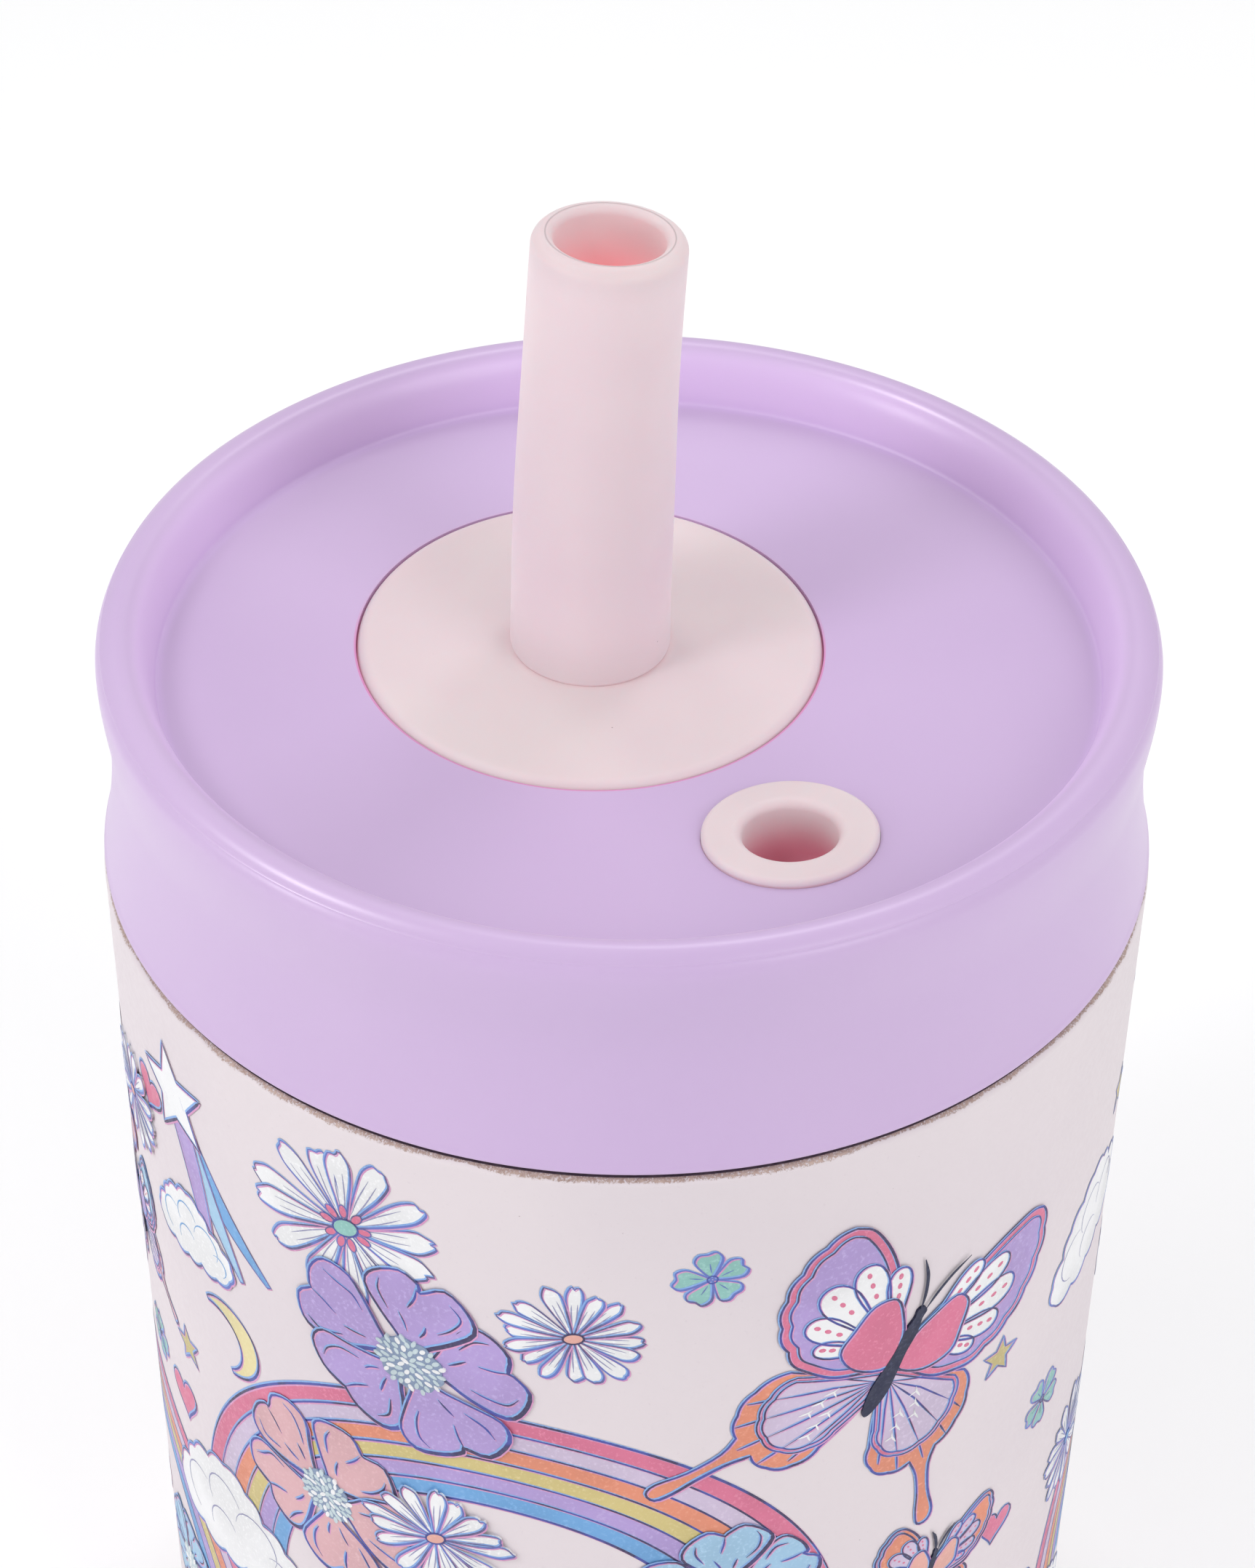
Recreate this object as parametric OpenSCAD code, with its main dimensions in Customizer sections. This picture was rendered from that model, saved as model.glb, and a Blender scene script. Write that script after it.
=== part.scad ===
// Insulated straw cup for a toddler: double-wall steel cup, screw lid, soft straw.
// Frame: origin at the centre of the foot, +Z up, air vent towards -Y, straw towards +Y.
// All lengths are millimetres, all angles degrees.

/* [Cup] */
// Height of the coated body, foot to shoulder
cup_h = 104; // [90:1:125]
// Outer radius of the body at the shoulder
cup_r = 43.4; // [42.8:0.1:44]
// Radius lost from shoulder to foot
cup_taper = 2.1; // [1:0.1:3]
// Sheet thickness of the outer shell
shell_t = 0.5; // [0.4:0.1:0.7]
// Sheet thickness of the inner liner
liner_t = 0.5; // [0.4:0.1:0.6]
// Height of the inside floor above the table
inside_floor_z = 9.6; // [9.2:0.1:12]

/* [Neck and thread] */
// Height of the neck above the shoulder
neck_h = 10; // [10:0.5:12]
// Outer radius of the neck
neck_r = 38.9; // [38.7:0.1:38.9]
// Rise of the lid in one full turn
thread_lead = 8; // [7.6:0.1:8]
// How far a thread ridge stands out
thread_depth = 1.1; // [0.9:0.05:1.15]
// Play between tightened thread flanks
thread_play = 0.15; // [0.12:0.01:0.3]

/* [Lid] */
// Gap between lid skirt and shoulder
seam_gap = 0.5; // [0.3:0.1:1]
// Height from skirt edge to the widest point of the rim
rim_up = 19.1; // [18.5:0.1:20]
// Outer radius of the rim
rim_r = 42.95; // [42.8:0.05:43.2]
// Radius of the waist under the rim
waist_r = 42.2; // [42.1:0.05:42.4]
// Depth of the dished top below the rim's widest point
dish_depth = 5.4; // [5.2:0.1:5.8]
// Radius of curvature of the dished top
dish_r = 300; // [280:5:400]
// Thickness of the dished top
floor_t = 2.2; // [2:0.1:2.3]

/* [Straw] */
// Distance of the straw from the cup's axis
straw_y = 6.1; // [5.5:0.1:6.5]
// Radius of the silicone disc
disc_r = 19.2; // [19:0.1:19.4]
// Length of the straw above the disc
straw_len = 38.1; // [30:0.5:45]
// Outer radius of the straw where it leaves the disc
straw_base_r = 6.6; // [6.4:0.05:6.8]
// Outer radius of the straw near the tip
straw_tip_r = 6.15; // [6:0.05:6.3]
// Radius of the drinking bore
bore_r = 4.4; // [4:0.1:4.6]
// Sideways lean of the straw
straw_lean = 2.4; // [0:0.1:4]

/* [Vent] */
// Distance of the vent from the cup's axis
vent_y = 24; // [23.5:0.1:24.5]
// Radius of the vent's flange
vent_r = 7; // [6.8:0.1:7.1]
// Radius of the vent's hole
vent_hole_r = 3.8; // [3.4:0.1:4]

/* [Hidden] */
$fn = 96;
slip = 0.05; // running gap of a push fit
touch = 0.01; // gap between faces that rest on each other
eps = 0.5; // overshoot of a cutting tool

// Body
foot_round = 3;
foot_r = cup_r - cup_taper;
foot_in_r = foot_r - 4.8; // inner face of the foot's turned-up lip
lip_round = 0.9;
lip_top = 3.9;
shoulder_round = 0.6;
slope = cup_taper / cup_h;
neck_top = cup_h + neck_h;
liner_r = neck_r - shell_t - slip;
liner_lip = 0.6; // thickness of the lip that laps over the shell's neck
liner_corner = 8;
liner_bottom = inside_floor_z - liner_t;
plate_t = 0.7;
plate_z = lip_top - plate_t;
dimple_r = 8;
dimple_h = 1.2;
port_r = 0.75;
cap_z = 0.8; // underside of the base cap
cap_t = 0.6;
getter_x = 20;
getter_r = 3.8;
getter_h = 1.5;
clip_t = 0.3;

// Thread
starts = 2;
lugs_per_turn = 6;
lug_arc = 50;
lug_step = 360 / lugs_per_turn;
lug_rise = thread_lead / lugs_per_turn;
pitch = thread_lead / starts;
root_w = 1.5;
crest_w = 0.8;
bite = 0.3; // how far a ridge is rooted in its wall
bite_w = root_w + 0.2; // width of a ridge at its buried root
first_lug_z = cup_h + 1.25;
skirt_in_r = neck_r + thread_depth + 0.3;
overlap_w = 1.05; // half a body ridge plus half a lid ridge, where the two overlap
lid_lug_up = pitch - overlap_w - thread_play;

// Lid, heights above the skirt's lower edge
lid_z = cup_h + seam_gap;
skirt_r = cup_r;
skirt_round = 0.35;
skirt_bevel = 0.3; // inner edge of the skirt
waist_up = rim_up - 8;
bead_r = 2;
bead_c = rim_r - bead_r;
bead_up = rim_up - 0.1;
well_r = 38.6; // radius of the dished top's wall
well_round = 1;
dish_step = 3.7; // spacing of the points along the dished top
dish_up = rim_up - dish_depth;
land_up = rim_up - 7.5; // flat land that the gasket seals under
keeper_r = 36.7; // ring that keeps the gasket in place
keeper_t = 1.5;
keeper_up = rim_up - 13;
gasket_r = 39.7;
gasket_bulge = 0.3;
gasket_round = 0.5;
boss_top = -1; // bosses under the lid end inside the dished top
cut_h = 15; // height of a tool that cuts a seat clear of the lid

// Straw spout, in the frame of the disc
disc_tilt = asin(straw_y / dish_r);
disc_sag = disc_r * disc_r / (2 * dish_r);
disc_top = disc_sag + 0.35;
disc_t = 2.2;
disc_under = disc_top - disc_t;
seat_gap = 0.15;
boss_r = disc_r + 1.6;
boss_bottom = -3.4;
collar_r = 17.4;
collar_hole_r = 15.6;
collar_bottom = -9;
plug_t = 1.9;
plug_bottom = -8.5;
straw_root = 0.2; // how far the straw is rooted in the disc
socket_root = 0.5; // how far the tube's socket is rooted in the disc
plug_bevel = 0.4;
bore_start = 1.2;
chamber_r = bore_r + 0.2; // short chamber between the tube's socket and the straw's bore
chamber_h = 1.5;
socket_r = 7.2;
socket_bottom = -14;
tube_r = 4.8;
tube_t = 1.3;
tube_top = -2.2;
tube_end_z = inside_floor_z + 4;
tube_notch_w = 3;
tube_notch_h = 4;

// Vent valve, in the frame of its flange
vent_tilt = -asin(vent_y / dish_r);
vent_top = 0.7;
vent_under = -0.5;
vent_gap = 0.1;
vent_stem_r = 5.15;
vent_boss_r = 7.6;
vent_boss_bottom = -4.5;
bill_top = -4.6;
bill_bottom = -10;
bill_lip = 0.7;
bill_r = vent_stem_r - 0.15;
slit = 0.12;
slit_more = 0.2; // overshoot of the tool that hollows the bill

function arc(c, r, from, to, n) =
    [for (i = [0:n]) c + r * [cos(from + (to - from) * i / n), sin(from + (to - from) * i / n)]];
function dish(r) = dish_up + r * r / (2 * dish_r);
function smooth(t) = t * t * (3 - 2 * t);
function skirt_low(up) = waist_r + (skirt_r - waist_r) * pow(1 - up / waist_up, 2);
function skirt_high(up) = waist_r + (rim_r - waist_r) * smooth((up - waist_up) / (bead_up - waist_up));

// Places children on the dished top, square to its surface
module on_dish(y, tilt) {
    translate([0, y, lid_z + dish(y)])
        rotate([tilt, 0, 0])
            children();
}

// One interrupted thread: a ridge section is swept as short inclined arcs
module thread_lugs(first_z, count, mean_r) {
    incline = atan(thread_lead / (2 * PI * mean_r));
    for (s = [0:starts - 1])
        for (i = [0:count - 1])
            translate([0, 0, first_z + lug_rise * i])
                rotate([0, 0, 360 / starts * s + lug_step * i])
                    rotate([incline, 0, 0])
                        rotate([0, 0, -lug_arc / 2])
                            rotate_extrude(angle = lug_arc)
                                children();
}

module shell_section() {
    polygon(concat(
        [[foot_in_r, lip_top]],
        arc([foot_in_r + lip_round, lip_round], lip_round, 180, 270, 6),
        arc([foot_r - foot_round, foot_round], foot_round, 270, 360, 12),
        arc([cup_r - shoulder_round, cup_h - shoulder_round], shoulder_round, 0, 90, 6),
        [[neck_r, cup_h]],
        [[neck_r, neck_top - liner_lip - touch]],
        [[neck_r - shell_t, neck_top - liner_lip - touch]],
        [[neck_r - shell_t, cup_h - shell_t]],
        [[cup_r - shell_t, cup_h - shell_t]],
        arc([foot_r - foot_round, foot_round], foot_round - shell_t, 360, 270, 12),
        arc([foot_in_r + lip_round, lip_round], lip_round - shell_t, 270, 180, 4),
        [[foot_in_r + shell_t, lip_top]]
    ));
}

// Drawn sheet of the outer wall with its foot, shoulder and threaded neck
module outer_shell() {
    color([0.90, 0.84, 0.87]) {
        rotate_extrude() shell_section();
        thread_lugs(first_lug_z, lugs_per_turn, neck_r)
            polygon([
                [neck_r - bite, -bite_w / 2],
                [neck_r + thread_depth, -crest_w / 2],
                [neck_r + thread_depth, crest_w / 2],
                [neck_r - bite, bite_w / 2]
            ]);
    }
}

module liner_section() {
    low_r = liner_r - slope * (cup_h - liner_bottom);
    polygon(concat(
        [[0, liner_bottom]],
        arc([low_r - liner_corner, liner_bottom + liner_corner], liner_corner, 270, 360, 10),
        [[liner_r, cup_h - 2 * shell_t]],
        [[liner_r, neck_top - liner_lip]],
        arc([neck_r - liner_lip / 2, neck_top - liner_lip / 2], liner_lip / 2, 270, 450, 8),
        [[liner_r - liner_t, neck_top]],
        [[liner_r - liner_t, cup_h - 2 * shell_t]],
        arc([low_r - liner_corner, liner_bottom + liner_corner], liner_corner - liner_t, 360, 270, 10),
        [[0, inside_floor_z]]
    ));
}

// Drink vessel, lapped and welded over the top of the neck
module inner_liner() {
    color([0.78, 0.79, 0.80])
        rotate_extrude() liner_section();
}

// Disc that closes the vacuum space, with a dimple around the pump-out port
module base_plate() {
    color([0.72, 0.73, 0.75])
        rotate_extrude()
            polygon([
                [port_r, plate_z + dimple_h],
                [dimple_r / 2, plate_z + dimple_h],
                [dimple_r, plate_z],
                [foot_in_r - touch, plate_z],
                [foot_in_r - touch, lip_top],
                [dimple_r - plate_t / 2, lip_top],
                [dimple_r / 2 - plate_t / 2, lip_top + dimple_h],
                [port_r, lip_top + dimple_h]
            ]);
}

// Cover glued under the base plate, set back from the foot
module base_cap() {
    brim_r = foot_in_r - 0.1;
    wall_r = foot_in_r - 1.5;
    color([0.80, 0.81, 0.82])
        rotate_extrude()
            polygon([
                [0, cap_z],
                [brim_r, cap_z],
                [brim_r, cap_z + cap_t],
                [wall_r, cap_z + cap_t],
                [wall_r, plate_z - touch],
                [wall_r - cap_t, plate_z - touch],
                [wall_r - cap_t, cap_z + cap_t],
                [0, cap_z + cap_t]
            ]);
}

// Spot-welded dish that holds the getter in the vacuum space
module getter_clip() {
    color([0.66, 0.67, 0.69])
        translate([getter_x, 0, lip_top + touch])
            difference() {
                cylinder(h = getter_h + clip_t, r = getter_r + slip + clip_t);
                translate([0, 0, clip_t]) cylinder(h = getter_h + eps, r = getter_r + slip);
            }
}

// Sintered pellet that keeps the vacuum
module getter() {
    color([0.35, 0.35, 0.37])
        translate([getter_x, 0, lip_top + clip_t + 2 * touch])
            cylinder(h = getter_h, r = getter_r);
}

// Glass bead fused over the pump-out port
module seal_bead() {
    cap_r = 2.4;
    round_r = 0.8;
    sag = 0.2;
    color([0.20, 0.32, 0.30])
        rotate_extrude()
            polygon([
                [0, plate_z - sag],
                [cap_r - round_r, plate_z],
                [cap_r, plate_z + round_r],
                [cap_r, plate_z + dimple_h - touch],
                [port_r - touch, plate_z + dimple_h - touch],
                [port_r - touch, lip_top + dimple_h],
                [0, lip_top + dimple_h]
            ]);
}

module lid_section() {
    well_c = [well_r - well_round, dish(well_r - well_round) + well_round];
    polygon(concat(
        [[skirt_in_r + skirt_bevel, 0]],
        arc([skirt_r - skirt_round, skirt_round], skirt_round, 270, 360, 4),
        [for (i = [1:8]) let (up = waist_up * i / 8) [skirt_low(up), up]],
        [for (i = [1:8]) let (up = waist_up + (bead_up - waist_up) * i / 8) [skirt_high(up), up]],
        arc([bead_c, bead_up], bead_r, 10, 180, 17),
        arc(well_c, well_round, 0, -83, 6),
        [for (i = [9:-1:0]) let (r = dish_step * i) [r, dish(r)]],
        [for (i = [0:9]) let (r = (keeper_r - keeper_t) * i / 9) [r, dish(r) - floor_t]],
        [[keeper_r - keeper_t, keeper_up]],
        [[keeper_r, keeper_up]],
        [[keeper_r, land_up]],
        [[skirt_in_r, land_up]],
        [[skirt_in_r, skirt_bevel]]
    ));
}

// Moulded lid: rim, dished top, skirt with thread, seats for the straw disc and the vent
module lid() {
    color([0.80, 0.72, 0.89])
        difference() {
            union() {
                translate([0, 0, lid_z]) rotate_extrude() lid_section();
                thread_lugs(first_lug_z + lid_lug_up, lugs_per_turn / 2, skirt_in_r)
                    polygon([
                        [skirt_in_r + bite, -bite_w / 2],
                        [skirt_in_r + bite, bite_w / 2],
                        [skirt_in_r - thread_depth, crest_w / 2],
                        [skirt_in_r - thread_depth, -crest_w / 2]
                    ]);
                on_dish(straw_y, disc_tilt) {
                    translate([0, 0, boss_bottom]) cylinder(h = boss_top - boss_bottom, r = boss_r);
                    translate([0, 0, collar_bottom]) cylinder(h = boss_top - collar_bottom, r = collar_r);
                }
                on_dish(-vent_y, vent_tilt)
                    translate([0, 0, vent_boss_bottom])
                        cylinder(h = boss_top - vent_boss_bottom, r = vent_boss_r);
            }
            on_dish(straw_y, disc_tilt) {
                translate([0, 0, disc_under - touch]) cylinder(h = cut_h, r = disc_r + seat_gap);
                translate([0, 0, collar_bottom - eps]) cylinder(h = cut_h, r = collar_hole_r);
            }
            on_dish(-vent_y, vent_tilt) {
                translate([0, 0, vent_under - touch]) cylinder(h = cut_h, r = vent_r + vent_gap);
                translate([0, 0, vent_boss_bottom - eps]) cylinder(h = cut_h, r = vent_stem_r + slip);
            }
        }
}

// Silicone ring pressed between the lid's land and the lip of the cup
module lid_gasket() {
    top = lid_z + land_up - touch;
    bottom = neck_top + touch;
    in_r = keeper_r + 2 * touch;
    color([0.93, 0.93, 0.95])
        rotate_extrude()
            polygon([
                [in_r, bottom],
                [gasket_r, bottom],
                [gasket_r + gasket_bulge, bottom + gasket_round],
                [gasket_r + gasket_bulge, top - gasket_round],
                [gasket_r, top],
                [in_r, top]
            ]);
}

module straw_section() {
    round_out = 1.2;
    polygon(concat(
        [[0, 0]],
        [[straw_base_r, 0]],
        arc([straw_tip_r - round_out, straw_len - round_out], round_out, 0, 90, 6),
        [[0, straw_len]]
    ));
}

module bore_section() {
    round_in = 0.5;
    polygon(concat(
        [[0, -bore_start]],
        [[bore_r, -bore_start]],
        arc([bore_r + round_in, straw_len - round_in], round_in, 180, 90, 4),
        [[bore_r + round_in, straw_len + eps]],
        [[0, straw_len + eps]]
    ));
}

// Places children along the leaning straw, from just under the disc's top
module along_straw() {
    translate([0, straw_y, lid_z + dish(straw_y) + disc_top - straw_root])
        rotate([0, straw_lean, 0])
            children();
}

module disc_section() {
    edge = 0.7;
    plug_r = collar_hole_r - slip;
    polygon(concat(
        [[0, disc_under]],
        [[socket_r, disc_under]],
        [[plug_r - plug_t, disc_under]],
        [[plug_r - plug_t, plug_bottom]],
        [[plug_r - plug_bevel, plug_bottom]],
        [[plug_r, plug_bottom + plug_bevel]],
        [[plug_r, disc_under]],
        [[disc_r, disc_under]],
        arc([disc_r - edge, disc_top - edge], edge, 0, 90, 6),
        [[0, disc_top]]
    ));
}

// Soft moulding: disc, plug that fits the lid's collar, socket for the tube, and straw
module straw_spout() {
    color([0.92, 0.84, 0.86])
        difference() {
            union() {
                on_dish(straw_y, disc_tilt) {
                    rotate_extrude() disc_section();
                    translate([0, 0, socket_bottom])
                        cylinder(h = disc_under - socket_bottom + socket_root, r = socket_r);
                }
                along_straw() rotate_extrude() straw_section();
            }
            along_straw() rotate_extrude() bore_section();
            on_dish(straw_y, disc_tilt) {
                translate([0, 0, socket_bottom - eps])
                    cylinder(h = tube_top + slip - socket_bottom + eps, r = tube_r + slip);
                translate([0, 0, tube_top - eps]) cylinder(h = chamber_h + eps, r = chamber_r);
            }
        }
}

// Clear stiff tube that reaches down to the cup's floor, with notches at its open end
module dip_tube() {
    tube_len = lid_z + dish(straw_y) + tube_top - tube_end_z;
    color([0.93, 0.95, 0.96])
        on_dish(straw_y, disc_tilt)
            translate([0, 0, tube_top - tube_len])
                difference() {
                    cylinder(h = tube_len, r = tube_r);
                    translate([0, 0, -eps]) cylinder(h = tube_len + 2 * eps, r = tube_r - tube_t);
                    translate([-tube_r - eps, -tube_notch_w / 2, -eps])
                        cube([2 * tube_r + 2 * eps, tube_notch_w, tube_notch_h + eps]);
                }
}

// A wedge that narrows downwards to the lips of the valve
module bill(top_r, lip_w, lengthen) {
    intersection() {
        translate([0, 0, bill_bottom - lengthen])
            cylinder(h = bill_top - bill_bottom + 2 * lengthen, r = top_r);
        rotate([90, 0, 0])
            linear_extrude(height = 3 * top_r, center = true)
                polygon([
                    [-lip_w, bill_bottom - lengthen],
                    [lip_w, bill_bottom - lengthen],
                    [top_r, bill_top],
                    [top_r, bill_top + lengthen],
                    [-top_r, bill_top + lengthen],
                    [-top_r, bill_top]
                ]);
    }
}

// Soft grommet with a duckbill that lets air in and keeps drink from coming out
module vent_valve() {
    lip = 0.8;
    edge = 0.5;
    color([0.91, 0.83, 0.85])
        on_dish(-vent_y, vent_tilt)
            difference() {
                union() {
                    rotate_extrude()
                        polygon(concat(
                            [[vent_hole_r, bill_top]],
                            [[vent_stem_r, bill_top]],
                            [[vent_stem_r, vent_under]],
                            [[vent_r, vent_under]],
                            arc([vent_r - edge, vent_top - edge], edge, 0, 90, 5),
                            arc([vent_hole_r + lip, vent_top - lip], lip, 90, 180, 6)
                        ));
                    bill(bill_r, bill_lip, 0);
                }
                bill(vent_hole_r, slit / 2, slit_more);
            }
}

outer_shell();
inner_liner();
base_plate();
base_cap();
getter_clip();
getter();
seal_bead();
lid();
lid_gasket();
straw_spout();
dip_tube();
vent_valve();
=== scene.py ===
"""Looks of the insulated straw cup: coat, print, lid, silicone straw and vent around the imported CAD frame."""
import random
from math import asin, atan2, ceil, cos, dist, hypot, pi, radians, sin, sqrt, tan

import bmesh
import bpy
from mathutils import Matrix, Vector
from mathutils.geometry import delaunay_2d_cdt


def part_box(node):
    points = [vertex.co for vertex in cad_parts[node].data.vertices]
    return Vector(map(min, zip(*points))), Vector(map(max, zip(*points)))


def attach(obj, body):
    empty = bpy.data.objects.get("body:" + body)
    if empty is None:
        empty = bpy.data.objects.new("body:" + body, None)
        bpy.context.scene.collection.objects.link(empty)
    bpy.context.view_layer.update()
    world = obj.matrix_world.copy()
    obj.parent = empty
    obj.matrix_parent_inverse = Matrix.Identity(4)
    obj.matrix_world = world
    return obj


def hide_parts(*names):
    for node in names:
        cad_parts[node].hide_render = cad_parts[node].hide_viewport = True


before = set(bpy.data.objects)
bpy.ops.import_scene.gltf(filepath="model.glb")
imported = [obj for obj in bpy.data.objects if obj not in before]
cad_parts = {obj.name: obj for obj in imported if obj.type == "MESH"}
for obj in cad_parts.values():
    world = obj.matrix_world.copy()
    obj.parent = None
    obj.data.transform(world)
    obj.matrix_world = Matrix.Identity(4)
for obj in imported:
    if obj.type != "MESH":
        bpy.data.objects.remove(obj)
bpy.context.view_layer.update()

MM = 0.001
TURN = 2 * pi
ON_AXIS = 1e-6
scene = bpy.context.scene

# ---- sizes, in millimetres, from the frame
def box_mm(node):
    low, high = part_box(node)
    return low / MM, high / MM


shell_low, shell_high = box_mm("outer_shell")
lid_low, lid_high = box_mm("lid")
spout_low, spout_high = box_mm("straw_spout")
vent_low, vent_high = box_mm("vent_valve")
gasket_low, gasket_high = box_mm("lid_gasket")

SEAM_GAP = 0.5
BEAD_R = 2.0
shoulder_z = lid_low.z - SEAM_GAP
cup_r = shell_high.x
foot_r = cup_r - 2.1
slope = (cup_r - foot_r) / shoulder_z
rim_z = lid_high.z - BEAD_R + 0.1
dish_r = 300.0
dish_z = rim_z - 5.4
disc_r = (spout_high.x - spout_low.x) / 2
disc_y = (spout_high.y + spout_low.y) / 2
vent_r = (vent_high.x - vent_low.x) / 2
vent_y = -24.0


def dish_at(r):
    """Height of the lid's dished top at radius r."""
    return dish_z + r * r / (2 * dish_r)


def wall_r(z):
    """Radius of the steel body's outer wall at height z."""
    return foot_r + slope * z


# ---- mesh helpers
def arc(cx, cz, r, start, end, steps):
    """Points of an arc in the section plane, angles in degrees."""
    turns = [radians(start + (end - start) * i / steps) for i in range(steps + 1)]
    return [(cx + r * cos(t), cz + r * sin(t)) for t in turns]


def bezier(points, t):
    """A point of the curve pulled along by the given control points."""
    while len(points) > 1:
        points = [tuple(p + (q - p) * t for p, q in zip(a, b)) for a, b in zip(points, points[1:])]
    return points[0]


def smooth(t):
    t = max(0.0, min(1.0, t))
    return t * t * (3 - 2 * t)


def add_object(name, data):
    obj = bpy.data.objects.new(name, data)
    scene.collection.objects.link(obj)
    return obj


def shade(mesh, sharp):
    """Smooth faces, with hard edges past an angle in degrees."""
    mesh.polygons.foreach_set("use_smooth", [True] * len(mesh.polygons))
    mesh.set_sharp_from_angle(angle=radians(sharp))


def dress(obj, material):
    obj.data.materials.clear()
    obj.data.materials.append(material)


def new_object(name, bm, sharp=40):
    """A mesh object, in metres, from a bmesh in millimetres."""
    bmesh.ops.recalc_face_normals(bm, faces=bm.faces)
    bm.transform(Matrix.Scale(MM, 4))
    mesh = bpy.data.meshes.new(name)
    bm.to_mesh(mesh)
    bm.free()
    shade(mesh, sharp)
    return add_object(name, mesh)


def revolve(section, steps, place=lambda p: p):
    """A closed ring or solid turned about Z from a closed section of (r, z) points; place moves each point."""
    bm = bmesh.new()
    rings = []
    for r, z in section:
        turns = [TURN * k / steps for k in range(steps if r > ON_AXIS else 1)]
        rings.append([bm.verts.new(place(Vector((r * cos(a), r * sin(a), z)))) for a in turns])
    for one, two in zip(rings, rings[1:] + rings[:1]):
        for k in range(steps):
            n = (k + 1) % steps
            corners = (one[k % len(one)], two[k % len(two)], two[n % len(two)], one[n % len(one)])
            corners = list(dict.fromkeys(corners))
            if len(corners) > 2:
                bm.faces.new(corners)
    return bm


def resample(path, longest, shortest, closed):
    """The same path with points no further apart than longest, and crowded points dropped."""
    ends = path + path[:1] if closed else path
    out = [ends[0]]
    for a, b in zip(ends, ends[1:]):
        gap = dist(out[-1], b)
        if gap < shortest and b is not ends[-1]:
            continue
        count = max(1, ceil(gap / longest))
        start = out[-1]
        dx, dy = b[0] - start[0], b[1] - start[1]
        out += [(start[0] + dx * k / count, start[1] + dy * k / count) for k in range(1, count + 1)]
    return out[:-1] if closed else out


def combine(obj, operation, tool):
    """Joins tool to obj as one solid, or cuts it away, and deletes the tool."""
    mod = obj.modifiers.new("combine", "BOOLEAN")
    mod.operation, mod.object, mod.solver = operation, tool, "EXACT"
    graph = bpy.context.evaluated_depsgraph_get()
    graph.update()
    old, obj.data = obj.data, bpy.data.meshes.new_from_object(obj.evaluated_get(graph))
    obj.modifiers.clear()
    bpy.data.meshes.remove(old)
    bpy.data.objects.remove(tool)


def tilted(y):
    """Moves a point from the frame of a fitting on the dished top to the row frame."""
    tilt = asin(y / dish_r)
    turn = Matrix.Rotation(tilt, 3, "X")
    base = Vector((0, y, dish_at(abs(y))))
    return lambda p: turn @ p + base


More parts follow.
